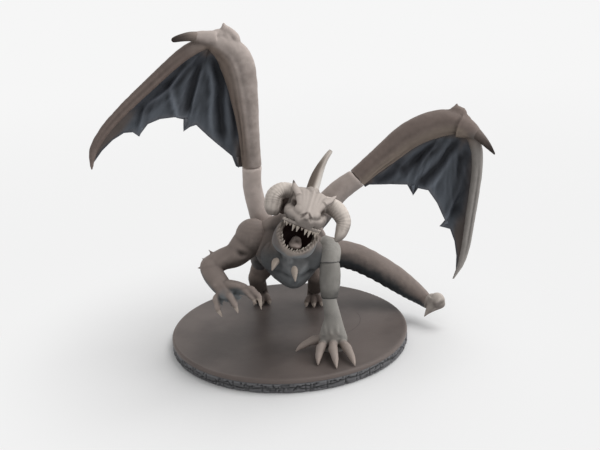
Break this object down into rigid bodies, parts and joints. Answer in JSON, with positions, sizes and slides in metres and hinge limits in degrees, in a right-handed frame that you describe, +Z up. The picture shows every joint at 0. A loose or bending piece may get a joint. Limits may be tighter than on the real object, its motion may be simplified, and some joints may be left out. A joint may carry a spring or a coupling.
{
  "type": "painted winged beast miniature",
  "caption": "Painted gaming miniature of a horned, winged beast crouching on a round display base, with a head and wings that turn on pegs.",
  "frame": {"origin": "centre of the round base's underside", "axes": "+Z up, -Y the way the beast faces, +X the beast's own left"},
  "size_m": [0.1575, 0.1, 0.1328],
  "materials": {
    "skin_paint": "matt warm grey paint over slate",
    "bone_paint": "matt bone paint with a tan wash",
    "sail_paint": "matt slate blue paint",
    "mouth_paint": "matt dark brown paint",
    "base_paint": "matt warm grey paint",
    "pin_steel": "plain steel wire"
  },
  "bodies": {
    "figure": {"base_disc": "base_paint", "base_band": "base_paint", "body_pins": "pin_steel", "torso_belly": "skin_paint", "torso_back": "skin_paint", "throat_spikes": "bone_paint", "neck": "skin_paint", "left_upper_arm": "skin_paint", "left_elbow_sleeve": "skin_paint", "left_forearm_hand": "skin_paint", "right_upper_arm": "skin_paint", "right_forearm": "skin_paint", "right_hand": "skin_paint", "left_thigh": "skin_paint", "left_shin": "skin_paint", "left_foot": "skin_paint", "right_thigh": "skin_paint", "right_shin": "skin_paint", "right_foot": "skin_paint", "tail_root": "skin_paint", "tail_middle": "skin_paint", "tail_end": "skin_paint", "tail_barb": "bone_paint", "right_wing_stub": "skin_paint", "left_wing_stub": "skin_paint"},
    "head": {"skull": "bone_paint", "lower_jaw": "skin_paint", "tongue": "mouth_paint", "upper_teeth": "bone_paint", "lower_teeth": "bone_paint", "left_horn": "bone_paint", "right_horn": "bone_paint", "crest_horn": "bone_paint", "head_pins": "pin_steel"},
    "left_wing": {"left_wing_arm": "skin_paint", "left_wing_finger": "skin_paint", "left_wing_thumb": "bone_paint", "left_wing_sail": "sail_paint"},
    "right_wing": {"right_wing_arm": "skin_paint", "right_wing_finger": "skin_paint", "right_wing_thumb": "bone_paint", "right_wing_sail": "sail_paint"}
  },
  "joints": [
    {"name": "head_turn", "type": "hinge", "parent": "figure", "child": "head", "pos_m": [0.0094, -0.02055, 0.06384], "axis": [0, -0.9903, 0.1392], "range_deg": [-12, 30]},
    {"name": "left_wing_turn", "type": "hinge", "parent": "figure", "child": "left_wing", "pos_m": [0.031, 0.0095, 0.0665], "axis": [0.7732, 0.1205, 0.6226], "range_deg": [-15, 15]},
    {"name": "right_wing_turn", "type": "hinge", "parent": "figure", "child": "right_wing", "pos_m": [-0.012, 0.003, 0.0752], "axis": [0.01, -0.1302, 0.9914], "range_deg": [-18, 18]}
  ]
}
